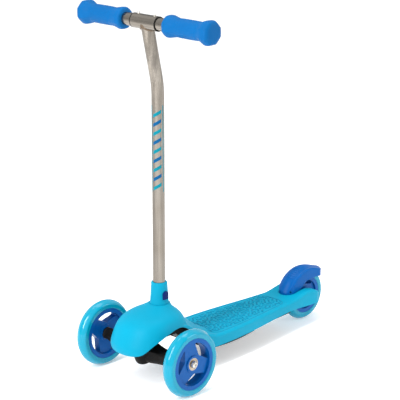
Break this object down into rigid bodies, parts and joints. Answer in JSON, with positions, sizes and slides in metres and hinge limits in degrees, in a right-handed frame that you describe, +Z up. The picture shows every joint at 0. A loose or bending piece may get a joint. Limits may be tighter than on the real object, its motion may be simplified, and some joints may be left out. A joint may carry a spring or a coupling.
{
  "type": "kick scooter",
  "caption": "Child's kick scooter with a lean-to-steer front truck, moulded deck with nose cowl, plug-in bent-tube T handlebar and sprung rear foot brake.",
  "frame": {"origin": "on the floor, under the centre of the scooter's bounding box", "axes": "+Z up; -Y forwards, the way the scooter rides; +X to the rider's left hand"},
  "size_m": [0.308, 0.535, 0.6556],
  "materials": {
    "cyan_plastic": "satin moulded, light blue",
    "black_plastic": "fine matt texture",
    "hub_blue": "gloss moulded, royal blue",
    "fender_blue": "satin moulded, royal blue",
    "button_blue": "satin moulded, navy",
    "tyre_cyan": "glossy cast urethane, light blue",
    "grip_rubber": "soft matt rubber, royal blue",
    "brushed_steel": "brushed along the tube",
    "zinc_steel": "bright zinc plate",
    "spring_steel": "oiled spring steel"
  },
  "bodies": {
    "chassis": {"deck_shell": "cyan_plastic", "underframe": "black_plastic", "deck_screws": "zinc_steel", "stem_collar": "cyan_plastic", "stem_tube": "brushed_steel", "handlebar_sleeve": "brushed_steel", "weld_bead": "brushed_steel", "left_grip_tube": "zinc_steel", "right_grip_tube": "zinc_steel", "left_grip": "grip_rubber", "right_grip": "grip_rubber", "thrust_washer": "zinc_steel", "kingpin_bolt": "zinc_steel", "kingpin_washer": "zinc_steel", "kingpin_nut": "zinc_steel", "rear_axle_bolt": "zinc_steel", "rear_axle_nut": "zinc_steel", "rear_axle_spacers": "zinc_steel", "brake_pivot_pin": "zinc_steel", "brake_spring": "spring_steel"},
    "truck": {"truck_beam": "black_plastic", "truck_bushes": "black_plastic", "front_left_axle_bolt": "zinc_steel", "front_left_axle_washers": "zinc_steel", "front_right_axle_bolt": "zinc_steel", "front_right_axle_washers": "zinc_steel"},
    "front_left_wheel": {"front_left_tyre": "tyre_cyan", "front_left_hub": "hub_blue", "front_left_bearings": "zinc_steel", "front_left_bearing_spacer": "zinc_steel"},
    "front_right_wheel": {"front_right_tyre": "tyre_cyan", "front_right_hub": "hub_blue", "front_right_bearings": "zinc_steel", "front_right_bearing_spacer": "zinc_steel"},
    "rear_wheel": {"rear_tyre": "tyre_cyan", "rear_hub": "hub_blue", "rear_bearings": "zinc_steel", "rear_bearing_spacer": "zinc_steel"},
    "foot_brake": {"fender": "fender_blue", "brake_plate": "zinc_steel"},
    "release_latch": {"release_button": "button_blue", "latch_pin": "zinc_steel", "latch_spring": "spring_steel"},
    "left_snap_button": {"left_snap_pin": "zinc_steel", "left_snap_spring": "spring_steel"},
    "right_snap_button": {"right_snap_pin": "zinc_steel", "right_snap_spring": "spring_steel"}
  },
  "joints": [
    {"name": "truck_steer", "type": "hinge", "parent": "chassis", "child": "truck", "pos_m": [0, -0.2155, 0.053], "axis": [0, -0.4226, 0.9063], "range_deg": [-15, 15], "stiffness_Nm_per_rad": 35},
    {"name": "front_left_spin", "type": "hinge", "parent": "truck", "child": "front_left_wheel", "pos_m": [0.1075, -0.2075, 0.06], "axis": [1, 0, 0], "continuous": true},
    {"name": "front_right_spin", "type": "hinge", "parent": "truck", "child": "front_right_wheel", "pos_m": [-0.1075, -0.2075, 0.06], "axis": [1, 0, 0], "continuous": true},
    {"name": "rear_spin", "type": "hinge", "parent": "chassis", "child": "rear_wheel", "pos_m": [0, 0.2175, 0.05], "axis": [1, 0, 0], "continuous": true},
    {"name": "brake_press", "type": "hinge", "parent": "chassis", "child": "foot_brake", "pos_m": [0, 0.1565, 0.051], "axis": [-1, 0, 0], "range_deg": [0, 1.9], "stiffness_Nm_per_rad": 8, "springref_deg": -5.73},
    {"name": "release_button_press", "type": "slide", "parent": "chassis", "child": "release_latch", "axis": [-1, 0, 0], "range_m": [0, 0.0022], "stiffness_N_per_m": 900, "springref_m": -0.002},
    {"name": "left_snap_press", "type": "slide", "parent": "chassis", "child": "left_snap_button", "axis": [0, 0, -1], "range_m": [0, 0.0047], "stiffness_N_per_m": 900, "springref_m": -0.002},
    {"name": "right_snap_press", "type": "slide", "parent": "chassis", "child": "right_snap_button", "axis": [0, 0, -1], "range_m": [0, 0.0047], "stiffness_N_per_m": 900, "springref_m": -0.002}
  ]
}
